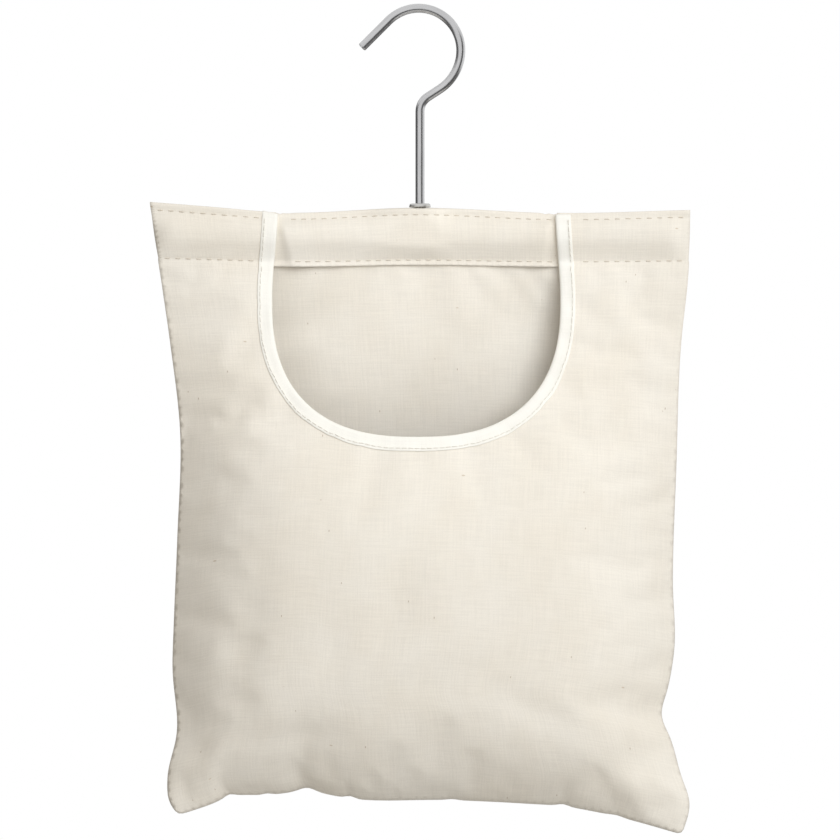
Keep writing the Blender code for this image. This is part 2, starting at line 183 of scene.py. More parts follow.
def edge_rise(x):
    """How far the top fold stands above the frame's top."""
    return float(np.interp(x, TOP_RISE[:, 0], TOP_RISE[:, 1]))


def hem_x(u, z):
    """Where flat u lies across the bag at a height in the hem: the sides already draw in there."""
    left = np.interp(-z, -LEFT_SEAM[:, 1], LEFT_SEAM[:, 0])
    right = np.interp(-z, -RIGHT_SEAM[:, 1], RIGHT_SEAM[:, 0])
    return float(mix(left, right, 0.5 + 0.5 * u / HALF))


def hem_end_z(u):
    """Height of the hem stitches, where the rise of the top fold has mostly died out."""
    return TOP - HEM + HEM_SETTLE * edge_rise(u)


def below_hem(seam, sign):
    return respaced(seam[seam[:, 1] <= hem_end_z(sign * HALF)], 500)


LEFT = below_hem(LEFT_SEAM, -1.0)
RIGHT = below_hem(RIGHT_SEAM, 1.0)


def hang(across, down):
    """(x, z) in the belly: across from 0 at the left seam to 1, down from 0 at the hem to 1."""
    u = (2.0 * across - 1.0) * HALF
    top_z = hem_end_z(u)
    top = np.array([hem_x(u, top_z), top_z])
    corners = (
        (1 - across) * (1 - down) * LEFT[0]
        + across * (1 - down) * RIGHT[0]
        + (1 - across) * down * LEFT[-1]
        + across * down * RIGHT[-1]
    )
    sides = (1 - across) * on_line(LEFT, down) + across * on_line(RIGHT, down)
    return sides + (1 - down) * top + down * on_line(UNDER_SEAM, across) - corners


def flat_of(x, z):
    """The flat (u, v) that hangs at (x, z) in the belly, found by correcting a guess."""
    across, down = 0.5 + 0.5 * x / HALF, (TOP - HEM - z) / (LENGTH - HEM)
    for _ in range(40):
        error = np.array([x, z]) - hang(across, down)
        across += 0.5 * error[0] / HALF
        down -= error[1] / (LENGTH - HEM)
    return (2.0 * across - 1.0) * HALF, HEM + down * (LENGTH - HEM)


FULLEST = 0.66
SIDE_WIDTH = 0.24
SIDE_ROUNDING = 4.0
BASE_ROUNDING = 2.6
BASE_POWER = 0.72


def side_rise(inward, flank_share):
    """0 at a side seam, 1 in the middle: a flat slope beside the seam, then a gentle crown."""
    slope = inward / SIDE_WIDTH
    flank = slope / (1.0 + slope ** SIDE_ROUNDING) ** (1.0 / SIDE_ROUNDING)
    return mix(1.0 - (1.0 - inward) ** 2, flank, flank_share)


def fullness(across, down, onset, flank_share):
    """0 along the seams and the hem, 1 where the belly is fullest. A larger onset starts it lower."""
    down = min(max(down, 0.0), 1.0)
    if down < FULLEST:
        upright = math.sin(0.5 * math.pi * down / FULLEST) ** onset
    else:
        upright = (1.0 - ((down - FULLEST) / (1.0 - FULLEST)) ** BASE_ROUNDING) ** BASE_POWER
    return upright * side_rise(max(1.0 - abs(2.0 * across - 1.0), 0.0), flank_share)


# How far from the shank its room in the casing starts to narrow and where it ends, in mm
ROOM_LEFT = (5.0, 34.0)
ROOM_RIGHT_TOP = (4.8, 13.0)
ROOM_RIGHT_HEM = (7.0, 21.0)


def shank_room(x, drop=0.0):
    """1 beside the shank, where the casing stays wide for the eyelet, 0 away from it.

    It ends in a fold on the right, which fans out down the casing.
    """
    if x < 0.0:
        return 1.0 - smoothstep(ROOM_LEFT[0] * MM, ROOM_LEFT[1] * MM, -x)
    start, end = (mix(a, b, drop / HEM) * MM for a, b in zip(ROOM_RIGHT_TOP, ROOM_RIGHT_HEM))
    return 1.0 - smoothstep(start, end, x)


def taut(low, high, value):
    """A ramp from 0 to 1 that is straight, as cloth is between two things that hold it."""
    t = min(max((value - low) / (high - low), 0.0), 1.0)
    return mix(t, smoothstep(0.0, 1.0, t), 0.25)


# Drops between which the casing widens onto the bar and narrows off it; it narrows later at the shank
ONTO_BAR = (4.2, 11.0)
OFF_BAR = (16.6, 26.6)
OFF_BAR_AT_SHANK = 19.5


def bar_swell(x, drop):
    """How far a layer of the casing stands out round the bar, by the drop from the top fold."""
    room = shank_room(x, drop)
    above = mix(taut(ONTO_BAR[0] * MM, ONTO_BAR[1] * MM, drop), 1.0, room)
    below = taut(OFF_BAR[1] * MM, mix(OFF_BAR[0], OFF_BAR_AT_SHANK, room) * MM, drop)
    ends = 1.0 - smoothstep(BAR_END + 1.5 * MM, HALF - 1.0 * MM, abs(x))
    return BAR_SWELL * above * below * ends


# The casing's cloth is a little full, and rises in a fold beside each end of the opening:
# where its crest is at the top, where it is at the hem, how far it stands out, how wide its side is
CASING_FOLDS = [(-71.0, -64.8, 3.0, 7.0), (66.0, 61.5, 1.6, 6.0)]
FOLD_FADE = 24.0 * MM


def casing_fold(x, drop):
    """How far the casing's front layer stands out in its folds, whose steep sides face outwards."""
    height = 0.0
    share = drop / HEM
    for top, hem, depth, side in CASING_FOLDS:
        past = (x - mix(top, hem, share) * MM) * -math.copysign(1.0, top)
        rise = taut(-side * mix(0.25, 1.0, share) * MM, 0.0, past)
        height += depth * MM * rise * math.exp(-max(past, 0.0) / FOLD_FADE)
    return height * smoothstep(1.0 * MM, 10.0 * MM, drop)


# The cloth's soft waves: height and size in mm, and a seed
WAVES = [(0.9, 42.0, 3.0), (0.35, 15.0, 7.0)]


def unevenness(x, z):
    """The soft waviness in depth that every layer shares, held back where the bar fills the casing."""
    drop = TOP - z
    on_bar = smoothstep(4.0 * MM, 8.0 * MM, drop) * smoothstep(27.0 * MM, 21.0 * MM, drop)
    free = 1.0 - 0.8 * on_bar
    return free * sum(height * MM * wave(x, z, size * MM, seed) for height, size, seed in WAVES)


class Layers:
    """One panel: the depths of its outer and turned-in layers, and the way and shape of its belly."""

    def __init__(self, outer, inner, seam, belly, onset, flank_share):
        self.outer, self.inner, self.seam, self.belly = outer, inner, seam, belly
        self.onset, self.flank_share = onset, flank_share
        self.out = math.copysign(1.0, belly)
        self.radius = 0.5 * abs(outer - inner)
        self.turn = math.pi * self.radius

    def hem_place(self, u, v):
        """Where a point of the folded hem lies."""
        crest = TOP + edge_rise(u) - 0.5 * CANVAS
        share = v / self.turn + 0.5
        middle = 0.5 * (self.outer + self.inner)
        if 0.0 < share < 1.0:
            lean = -math.cos(math.pi * share)
            z = crest - self.radius * (1.0 - math.sqrt(max(1.0 - lean * lean, 0.0)))
            x = hem_x(u, z)
            swell = BAR_SWELL * shank_room(x) if self.out > 0 else 0.0
            y = middle + self.out * (self.radius * lean + swell * lean)
        else:
            drop = abs(v) - 0.5 * self.turn + self.radius
            z = crest - drop
            z -= edge_rise(u) * (1.0 - HEM_SETTLE) * smoothstep(0.0, HEM, drop)
            x = hem_x(u, z)
            side = self.out if v > 0 or self.out < 0 else -self.out
            y = (self.outer if v > 0 else self.inner) + side * bar_swell(x, TOP - z)
            if v < 0 and self.out > 0:
                y -= casing_fold(x, drop)
        return Vector((x, y + unevenness(x, z), z))

    def belly_place(self, u, v):
        across, down = 0.5 + 0.5 * u / HALF, (v - HEM) / (LENGTH - HEM)
        x, z = hang(across, down)
        depth = mix(self.outer, self.seam, smoothstep(0.0, 0.35, down))
        y = depth + self.belly * fullness(across, down, self.onset, self.flank_share)
        return Vector((x, y + unevenness(x, z), z))

    def place(self, u, v):
        return self.hem_place(u, v) if v < HEM else self.belly_place(u, v)


FRONT = Layers(FRONT_DEPTH, FACING_DEPTH, -BACK_DEPTH, -FRONT_BELLY, 1.15, 0.54)
BACK = Layers(BACK_DEPTH, CASING_DEPTH, BACK_DEPTH, BACK_BELLY, 2.0, 0.85)


# ---- The flat pattern ------------------------------------------------------------------------

STITCH_ROWS = [1.9, 2.8, 3.7, 4.7, 6.0, 7.6]
CASING_ROWS = [9.4, 11.8, 14.4, 17.0, 19.6, 22.0, 24.0, 25.4, 26.6, 27.8]
COLUMN = 4.2 * MM
EDGE_STEP = 3.0 * MM


def hem_rows(turn):
    """v of each row of the hem's outer layer, from the crest of the fold down."""
    return [0.0, 0.25 * turn, 0.5 * turn] + [v * MM for v in STITCH_ROWS + CASING_ROWS]


def evenly(low, high, step):
    return list(np.linspace(low, high, max(2, round(abs(high - low) / step) + 1)))


def flat_u(x, z):
    """The flat u that lies at x in the hem."""
    left, right = hem_x(-HALF, z), hem_x(HALF, z)
    return (2.0 * (x - left) / (right - left) - 1.0) * HALF


def u_half(drop):
    return mix(U_TOP_HALF, U_HALF, smoothstep(0.0, U_SHOULDER, drop))


def u_edge(v, sign, setback):
    """Flat u of the opening's edge in the hem."""
    drop = abs(v)
    return flat_u(U_CENTRE + sign * (u_half(drop) + setback), TOP - drop)


def u_curve(setback):
    """The opening's edge below the hem, as flat points from its right side round to its left."""
    half, deep = U_HALF + setback, U_DEPTH - U_SHOULDER + setback
    side = [(u_half(drop) + setback, drop) for drop in evenly(HEM + 1.5 * MM, U_SHOULDER, EDGE_STEP)]
    bend = []
    for turn in np.linspace(0.0, 0.5 * math.pi, 60)[1:]:
        across = half * math.cos(turn) ** (2.0 / U_POWER) if turn < 0.5 * math.pi - 1e-6 else 0.0
        bend.append((across, U_SHOULDER + deep * math.sin(turn) ** (2.0 / U_POWER)))
    right = side + bend
    line = [(U_CENTRE + x, TOP - drop) for x, drop in right]
    line += [(U_CENTRE - x, TOP - drop) for x, drop in reversed(right[:-1])]
    line = respaced(line, round(line_length(line) / EDGE_STEP) + 1)
    return [flat_of(x, z) for x, z in line]


def opening_edge(rows, setback):
    """The whole edge of the opening in the flat: up from the right facing's end and down the left."""
    inner = [-v for v in reversed(rows)]
    both = [-HEM_DEPTH] + inner + rows[1:]
    both = [v for v in both if v <= HEM + 0.1 * MM]
    right = [(u_edge(v, 1.0, setback), v) for v in both]
    left = [(u_edge(v, -1.0, setback), v) for v in reversed(both)]
    return right, u_curve(setback), left


def outline(rows, opening):
    """The panel's cut edge as one loop of flat points."""
    inner = [-HEM_DEPTH] + [-v for v in reversed(rows)]
    down = inner + rows[1:] + evenly(rows[-1], LENGTH, SPACING)[1:]
    loop = [(-HALF, v) for v in down]
    loop += [(u, LENGTH) for u in evenly(-HALF, HALF, SPACING)[1:-1]]
    loop += [(HALF, v) for v in reversed(down)]
    if not opening:
        return loop + [(u, -HEM_DEPTH) for u in evenly(HALF, -HALF, COLUMN)[1:-1]]
    right, curve, left = opening_edge(rows, CUT_SETBACK)
    loop += [(u, -HEM_DEPTH) for u in evenly(HALF, right[0][0], COLUMN)[1:-1]]
    loop += right + list(curve) + left
    return loop + [(u, -HEM_DEPTH) for u in evenly(left[-1][0], -HALF, COLUMN)[1:-1]]


def within(points, loop):
    """Which points lie inside a loop."""
    points, loop = np.array(points), np.array(loop)
    x, y = points[:, 0][:, None], points[:, 1][:, None]
    ax, ay = loop[:, 0], loop[:, 1]
    bx, by = np.roll(ax, -1), np.roll(ay, -1)
    spans = (ay > y) != (by > y)
    with np.errstate(divide="ignore", invalid="ignore"):
        crossing = spans & (x < (bx - ax) * (y - ay) / (by - ay) + ax)
    return crossing.sum(axis=1) % 2 == 1


def fill(rows):
    """Inner points of the pattern: rows in the hem, an even triangle lattice in the belly."""
    points = []
    for v in [-v for v in reversed(rows[1:])] + rows:
        points += [(u, v) for u in evenly(-HALF, HALF, COLUMN)]
    deep = math.sqrt(0.75) * SPACING
    count = int((LENGTH - rows[-1]) / deep)
    for row in range(1, count + 1):
        shift = 0.5 * SPACING * (row % 2)
        points += [(u + shift, rows[-1] + row * deep) for u in evenly(-HALF, HALF, SPACING)]
    return points


def apart(points, others, least):
    """The points that keep the least distance, one for all or one each, from all the others."""
    gap = np.sqrt(((points[:, None, :] - np.array(others)[None]) ** 2).sum(axis=2)).min(axis=1)
    return points[gap > least]


def fold_points(layers, rows):
    """Points close to each side of the folds in the casing's front layer."""
    points = []
    for v in rows[2:]:
        drop = v - 0.5 * layers.turn + layers.radius
        for top, hem, _, _ in CASING_FOLDS:
            u = flat_u(mix(top, hem, drop / HEM) * MM, TOP - drop)
            points += [(u + off * MM, -v) for off in (-2.2, -0.75, 0.75, 2.2)]
    return points


def flat_mesh(layers, opening):
    """Triangles of the flat pattern: its points and its faces."""
    rows = hem_rows(layers.turn)
    loop = outline(rows, opening)
    points = np.array(fill(rows))
    points = points[within(points, loop)]
    if not opening:
        folds = fold_points(layers, rows)
        points = np.concatenate([apart(points, folds, 1.2 * MM), folds])
    keep_off = np.where(points[:, 1] > rows[-1] + MM, 0.5 * SPACING, 0.3 * COLUMN)
    points = apart(points, loop, keep_off)
    known = [Vector(p) for p in loop] + [Vector(p) for p in points]
    made = geometry.delaunay_2d_cdt(known, [], [list(range(len(loop)))], 1, 1e-7)
    return np.array([tuple(p) for p in made[0]]), [list(face) for face in made[2]]


# ---- Hanging the cloth -----------------------------------------------------------------------


def add_object(name, data):
    made = bpy.data.objects.new(name, data)
    bpy.context.scene.collection.objects.link(made)
    return made


def add_mesh(name, points, faces):
    data = bpy.data.meshes.new(name)
    data.from_pydata([tuple(p) for p in points], [], faces)
    return add_object(name, data)


def round_off(obj):
    rounding = obj.modifiers.new("Rounding", "SUBSURF")
    rounding.levels = rounding.render_levels = 1


def thicken(obj, thickness):
    """Gives a sheet its thickness, half to each side."""
    thick = obj.modifiers.new("Thickness", "SOLIDIFY")
    thick.thickness = thickness
    thick.offset = 0.0


def remove(obj):
    data = obj.data
    bpy.data.objects.remove(obj)
    bpy.data.meshes.remove(data)


def points_of(obj):
    """The object's points as its modifiers leave them."""
    graph = bpy.context.evaluated_depsgraph_get()
    mesh = obj.evaluated_get(graph).data
    points = np.empty(3 * len(mesh.vertices))
    mesh.vertices.foreach_get("co", points)
    return points.reshape(-1, 3)


def settle(name, faces, sewn, held, frames=26):
    """Lets sewn cloth that is cut a little too large find its own folds between the points that hold it."""
    cloth = add_mesh(name, sewn, faces)
    group = cloth.vertex_groups.new(name="held")
    group.add([int(i) for i in np.flatnonzero(held)], 1.0, "REPLACE")
    modifier = cloth.modifiers.new("Settle", "CLOTH")
    settings = modifier.settings
    settings.vertex_group_mass = group.name
    settings.quality = 6
    settings.mass = 0.1
    settings.tension_stiffness = 15.0
    settings.compression_stiffness = 15.0
    settings.shear_stiffness = 6.0
    settings.bending_stiffness = 8.0
    settings.shrink_min = -CUT_EASE
    settings.use_pressure = True
    settings.uniform_pressure_force = 10.0
    settings.effector_weights.gravity = 0.05
    modifier.collision_settings.use_collision = False
    modifier.point_cache.frame_start = 1
    modifier.point_cache.frame_end = frames
    for step in range(1, frames + 1):
        bpy.context.scene.frame_set(step)
        settled = points_of(cloth)
    bpy.context.scene.frame_set(1)
    remove(cloth)
    return settled


def edge_marks(flat, faces):
    """Which points lie on the cut edge."""
    pairs = np.sort(np.concatenate([np.array(faces)[:, p] for p in ([0, 1], [1, 2], [2, 0])]), axis=1)
    pairs, count = np.unique(pairs, axis=0, return_counts=True)
    marks = np.zeros(len(flat), bool)
    marks[pairs[count == 1].ravel()] = True
    return marks


def outward(points, faces, sign):
    """The faces with their order turned, where needed, so that the belly's outside looks along sign * Y."""
    a, b, c = (points[np.array(faces)[:, k]] for k in range(3))
    facing = np.cross(b - a, c - a)[:, 1].sum()
    return [face[::-1] for face in faces] if facing * sign < 0 else faces


def refined(name, points, flat, faces):
    """A smoother mesh of the same cloth: its points, their flat places and its faces."""
    rough = add_mesh(name, points, faces)
    place = rough.data.attributes.new("flat", "FLOAT_VECTOR", "POINT")
    place.data.foreach_set("vector", np.column_stack([flat, 0.0 * flat[:, 0]]).ravel())
    round_off(rough)
    graph = bpy.context.evaluated_depsgraph_get()
    fine = bpy.data.meshes.new_from_object(rough.evaluated_get(graph))
    at = np.empty(3 * len(fine.vertices))
    fine.attributes["flat"].data.foreach_get("vector", at)
    places = np.array([vert.co for vert in fine.vertices])
    normals = np.array([vert.normal for vert in fine.vertices])
    quads = [list(face.vertices) for face in fine.polygons]
    bpy.data.meshes.remove(fine)
    remove(rough)
    return places, normals, at.reshape(-1, 3)[:, :2], quads


STITCH_PITCH = 5.1 * MM
STITCH_LENGTH = 2.7 * MM
STITCH_DIP = 0.34 * MM
THREAD = 0.27 * MM
THREAD_SIDES = 6


def stitch_groove(flat):
    """How deep the cloth is pulled in along its stitches."""
    depth = np.zeros(len(flat))
    along = 0.78 + 0.22 * np.cos(2.0 * math.pi * flat[:, 0] / STITCH_PITCH)
    for row in (TOP_STITCH, HEM):
        for sign in (1.0, -1.0):
            off = (flat[:, 1] - sign * row) / (1.25 * MM)
            depth += STITCH_DIP * along * np.exp(-off * off)
    return depth


# Where the bottom seam puckers: flat u, reach up the cloth, depth and half width, in mm
PUCKERS = [
    (-108.6, 10.0, 2.0, 3.6), (-66.7, 18.0, 2.6, 5.5), (-43.0, 8.0, 1.5, 3.4), (-88.0, 7.0, 0.9, 3.0),
    (12.0, 9.0, 0.7, 4.0), (71.8, 10.0, 1.8, 3.8), (101.0, 12.0, 1.0, 5.0),
]
# How far from the seam the puckers also push the cloth back
PUCKER_SEAM = 10.0 * MM
# Soft dents in the front: flat (u, v), half length and half width, turn in degrees, depth, in mm
DENTS = [
    (-16.0, 207.0, 26.0, 12.0, 62.0, 2.2), (-46.0, 233.0, 20.0, 10.0, 55.0, 1.8),
    (10.0, 250.0, 30.0, 13.0, 20.0, 1.3), (-96.0, 232.0, 46.0, 13.0, 84.0, 1.6),
    (64.0, 262.0, 34.0, 11.0, -24.0, 1.2), (-72.0, 282.0, 30.0, 8.0, 6.0, 1.1),
    (96.0, 292.0, 22.0, 7.0, 40.0, 1.2), (30.0, 150.0, 34.0, 20.0, 75.0, 0.9),
]


# Behind the opening the back is pushed forward: how far, its half width, and where it is fullest
PUSH = 13.0 * MM
PUSH_HALF = 77.0 * MM
PUSH_DROP = 84.0 * MM
PUSH_FADE = 62.0 * MM


def pushed(places, flat):
    """How far the back panel comes forward behind the opening."""
    side = np.clip(np.abs(places[:, 0] - U_CENTRE) / PUSH_HALF, 0.0, 1.0)
    drop = np.where(flat[:, 1] < HEM, HEM, TOP - places[:, 2])
    above = np.sin(0.5 * math.pi * np.clip((drop - HEM) / (PUSH_DROP - HEM), 0.0, 1.0))
    below = np.exp(-(np.maximum(drop - PUSH_DROP, 0.0) / PUSH_FADE) ** 2)
    return PUSH * above * below * (1.0 - side ** 4) ** 2


def puckers(flat):
    """How deep the cloth is drawn in above the bottom seam."""
    depth = np.zeros(len(flat))
    for u, reach, deep, half in np.array(PUCKERS) * MM:
        across = (flat[:, 0] - u) / half
        up = (LENGTH - flat[:, 1]) / reach
        depth += deep * np.exp(-across * across - up * up)
    return depth


def dents(flat):
    """How deep the front's soft dents are."""
    depth = np.zeros(len(flat))
    for u, v, length, width, turn, deep in DENTS:
        c, s = math.cos(math.radians(turn)), math.sin(math.radians(turn))
        du, dv = flat[:, 0] / MM - u, flat[:, 1] / MM - v
        along, across = (c * du - s * dv) / length, (s * du + c * dv) / width
        depth += deep * MM * np.exp(-along * along - across * across)
    return depth


# The allowance from the seam inwards: the length of each step in mm, and its share of the seam's depth
ALLOWANCE_STEPS = [(0.5, 0.35), (1.6, 0.5), (6.9, 0.5)]


def turn_in_allowance(mesh, flat_layer, depth):
    """Folds the sewn sides and bottom inwards, behind the seam."""
    sewn = [
        edge
        for edge in mesh.edges
        if edge.is_boundary
        and all(
            vert[flat_layer].y > HEM
            and (abs(vert[flat_layer].x) > HALF - 0.6 * MM or vert[flat_layer].y > LENGTH - 0.6 * MM)
            for vert in edge.verts
        )
    ]
    for inset, share in ALLOWANCE_STEPS:
        made = bmesh.ops.extrude_edge_only(mesh, edges=sewn)["geom"]
        sewn = [part for part in made if isinstance(part, bmesh.types.BMEdge)]
        for vert in (part for part in made if isinstance(part, bmesh.types.BMVert)):
            u, v = vert[flat_layer].x, vert[flat_layer].y
            side = smoothstep(HALF - 7.0 * MM, HALF, abs(u))
            under = smoothstep(LENGTH - 7.0 * MM, LENGTH, v)
            way = Vector((-math.copysign(side, u), 0.0, under))
            vert.co += inset * MM * way.normalized() if way.length > 0.01 else Vector()
            vert.co.y = share * depth + unevenness(vert.co.x, vert.co.z)


class Cloth:
    """A finished panel, with its surface known at each point of the flat pattern."""

    def __init__(self, name, layers, opening):
        flat, faces = flat_mesh(layers, opening)
        sewn = np.array([layers.place(u, v) for u, v in flat])
        faces = outward(sewn, faces, layers.out)
        held = edge_marks(flat, faces) | (flat[:, 1] < HEM + 1.3 * MM)
        settled = settle(name, faces, sewn, held)
        places, normals, self.flat, quads = refined(name, settled, flat, faces)
        drawn = normals * puckers(self.flat)[:, None]
        drawn[:, 1] *= np.clip((LENGTH - self.flat[:, 1]) / PUCKER_SEAM, 0.0, 1.0)
        places -= drawn + normals * stitch_groove(self.flat)[:, None]
        if opening:
            places -= normals * dents(self.flat)[:, None]
        else:
            places[:, 1] -= pushed(places, self.flat)
        self.layers, self.places, self.normals = layers, places, normals
        self.corners = [t for q in quads for t in ((q[0], q[1], q[2]), (q[0], q[2], q[3]))]
        self.known = [Vector((u, v, 0.0)) for u, v in self.flat]
        self.tree = BVHTree.FromPolygons(self.known, self.corners)
        self.piece = self.build(name, quads)

    def build(self, name, quads):
        mesh = bmesh.new()
        flat_layer = mesh.verts.layers.float_vector.new("flat")
        verts = [mesh.verts.new(p) for p in self.places]
        for vert, (u, v) in zip(verts, self.flat):
            vert[flat_layer] = Vector((u, v, 0.0))
        for quad in quads:
            mesh.faces.new([verts[i] for i in quad])
        turn_in_allowance(mesh, flat_layer, self.layers.seam)
        uv_layer = mesh.loops.layers.uv.new("Cloth")
        for face in mesh.faces:
            face.smooth = True
            for loop in face.loops:
                loop[uv_layer].uv = loop.vert[flat_layer].xy
        data = bpy.data.meshes.new(name)
        mesh.to_mesh(data)
        mesh.free()
        data.attributes.remove(data.attributes["flat"])
        made = add_object(name, data)
        thicken(made, CANVAS)
        return made

    def at(self, u, v):
        """The place and the outward direction of a point of the flat pattern."""
        point, _, index, _ = self.tree.find_nearest(Vector((u, v, 0.0)))
        corner = self.corners[index]
        flat = [self.known[i] for i in corner]
        place = geometry.barycentric_transform(point, *flat, *[Vector(self.places[i]) for i in corner])
        way = geometry.barycentric_transform(point, *flat, *[Vector(self.normals[i]) for i in corner])
        return place, way.normalized()


# ---- Sewing ----------------------------------------------------------------------------------


def way_along(line, i):
    """The direction of a line at one of its points."""
    return (line[min(i + 1, len(line) - 1)] - line[max(i - 1, 0)]).normalized()


def ring(centre, size, across, up, sides):
    """Points round a wire, in the plane of two directions."""
    turns = [2.0 * math.pi * side / sides for side in range(sides)]
    return [centre + size * (math.cos(turn) * across + math.sin(turn) * up) for turn in turns]


def wire_faces(first, rings, sides):
    """Faces between rings of points that follow one another from a first point on."""
    starts = [first + i * sides for i in range(rings - 1)]
    pairs = [(start + side, start + (side + 1) % sides) for start in starts for side in range(sides)]
    return [(a, b, b + sides, a + sides) for a, b in pairs]


def stitch(points, faces, centres, ways, radius):
    """Adds one stitch to a thread: a round yarn that rises out of the cloth and dives back into it."""
    first = len(points)
    count = len(centres)
    for i, (centre, way) in enumerate(zip(centres, ways)):
        along = way_along(centres, i)
        across = along.cross(way).normalized()
        size = radius * (0.75 if i in (0, count - 1) else 1.0)
        points += ring(centre, size, across, across.cross(along), THREAD_SIDES)
    faces += wire_faces(first, count, THREAD_SIDES)
    last = first + (count - 1) * THREAD_SIDES
    faces.append(tuple(first + side for side in reversed(range(THREAD_SIDES))))
    faces.append(tuple(last + side for side in range(THREAD_SIDES)))


def sew(name, surface, line, lift, material, radius=THREAD, length=STITCH_LENGTH, pitch=STITCH_PITCH):
    """A row of stitches along a line of flat points, on a surface given as place and direction."""
    line = np.array(line, float)
    total = line_length(line)
    along = distances(line)
    points, faces = [], []
    count = int(total / pitch)
    for i in range(count):
        middle = (i + 0.5) * total / count
        reach = 0.5 * length * (1.0 + 0.08 * field.noise(Vector((i * 1.7, 0.3, 0.0))))
        skew = 0.12 * MM * field.noise(Vector((i * 2.3, 5.1, 0.0)))
        centres, ways = [], []
        for part in (-1.0, -0.86, -0.6, 0.0, 0.6, 0.86, 1.0):
            at = middle + part * reach
            u, v = (float(np.interp(at, along, line[:, k])) for k in (0, 1))
            place, way = surface(u, v + skew * part)
            height = lift + 0.8 * radius - 1.9 * radius * abs(part) ** 5
            centres.append(place + height * way)
            ways.append(way)
        stitch(points, faces, centres, ways, radius)
    made = add_mesh(f"{name}_stitches", points, faces)
    made.data.shade_smooth()
    finish_piece(made, "bag", material, name)


def finish_piece(made, body, material, *nodes):
    """Puts a finished piece on its body, with its finish, in place of its CAD nodes."""
    made.data.materials.clear()
    made.data.materials.append(MATERIALS[material])
    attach(made, body)
    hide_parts(*nodes)


# ---- Binding tape ----------------------------------------------------------------------------

TAPE = 0.5 * MM
TAPE_REACH = 6.8 * MM
# The tape's section: (distance from the cloth's cut edge, height over the cloth), in mm
TAPE_LEG = [(6.85, 0.62), (6.5, 0.88), (5.6, 0.86), (4.2, 0.8), (2.8, 0.84), (1.4, 0.9), (0.4, 0.86)]
TAPE_TURN = [(-0.25, 0.68), (-0.6, 0.36)]
TAPE_STEP = 1.6 * MM
# How far down the front from the crest of the fold the tape starts
TAPE_START = 0.9 * MM


def doubled(v):
    """How much further back the tape's inner leg lies where the hem doubles the cloth."""
    return (FACING_DEPTH - FRONT_DEPTH) * (1.0 - smoothstep(HEM_DEPTH, HEM_DEPTH + 3.0 * MM, v))


def binding_line():
    """Flat points along the opening's cut edge, from its top right down and up to its top left."""
    right, curve, left = opening_edge(hem_rows(FRONT.turn), CUT_SETBACK)
    line = [p for p in right if p[1] > TAPE_START] + list(curve) + [p for p in left if p[1] > TAPE_START]
    return respaced(line, round(line_length(line) / TAPE_STEP) + 1)


def away_from_opening(line):
    """At each point of the edge, the flat direction into the cloth."""
    along = np.gradient(line, axis=0)
    for _ in range(3):
        along[1:-1] = (along[:-2] + along[1:-1] + along[2:]) / 3.0
    along /= np.linalg.norm(along, axis=1)[:, None]
    away = np.column_stack([-along[:, 1], along[:, 0]])
    return away if away[0, 0] > 0 else -away


def make_binding(front):
    line = binding_line()
    away = away_from_opening(line)
    outer = TAPE_LEG + TAPE_TURN
    section = [(s, h, 1.0) for s, h in outer] + [(-0.74, 0.0, 0.0)]
    section += [(s, h, -1.0) for s, h in reversed(outer)]
    points, uvs, faces = [], [], []
    count = len(section)
    steps = [math.dist(a[:2], b[:2]) for a, b in zip(section, section[1:])]
    around = np.concatenate([[0.0], np.cumsum(steps)])
    for i, ((u, v), (du, dv)) in enumerate(zip(line, away)):
        edge, way = front.at(u, v)
        inland, _ = front.at(u + 2.5 * MM * du, v + 2.5 * MM * dv)
        into = (inland - edge).normalized()
        for k, (s, h, side) in enumerate(section):
            s, h = s * MM, h * MM
            if s > 0.0:
                place, up = front.at(u + s * du, v + s * dv)
            else:
                place, up = edge + s * into, way
            pucker = 0.13 * MM * wave(i * TAPE_STEP, s + 9.0 * MM * side, 6.5 * MM, 21.0)
            pucker *= min(1.0, h / MM + 0.2)
            wander = 0.22 * MM * wave(i * TAPE_STEP, 0.0, 11.0 * MM, 31.0) * max(s / TAPE_REACH, 0.0)
            behind = doubled(v) * (1.0 if side < 0 else 0.5 if side == 0 else 0.0)
            points.append(place + up * (side * (h + pucker) - behind) + into * wander)
            uvs.append((i * TAPE_STEP, around[k] * MM))
    for i in range(len(line) - 1):
        for k in range(count - 1):
            a, b = i * count + k, (i + 1) * count + k
            faces.append((a, b, b + 1, a + 1))
    made = add_mesh("opening_binding_tape", points, faces)
    layer = made.data.uv_layers.new(name="Cloth")
    for loop in made.data.loops:
        layer.data[loop.index].uv = uvs[loop.vertex_index]
    made.data.shade_smooth()
    round_off(made)
    thicken(made, TAPE)
    finish_piece(made, "bag", "tape", "opening_binding")
    return made, line, away


# ---- Hook and eyelet -------------------------------------------------------------------------

WIRE_RADIUS = 2.3 * MM
UPPER_BEND_RADIUS = 21.5 * MM
LOWER_BEND_RADIUS = 23.5 * MM
BEND_CENTRE_X = -0.7 * MM
BEND_START = math.radians(135.0)
BEND_END = math.radians(-57.0)
TIP_LENGTH = 19.5 * MM
NECK_RADIUS = 9.0 * MM
WIRE_SIDES = 32


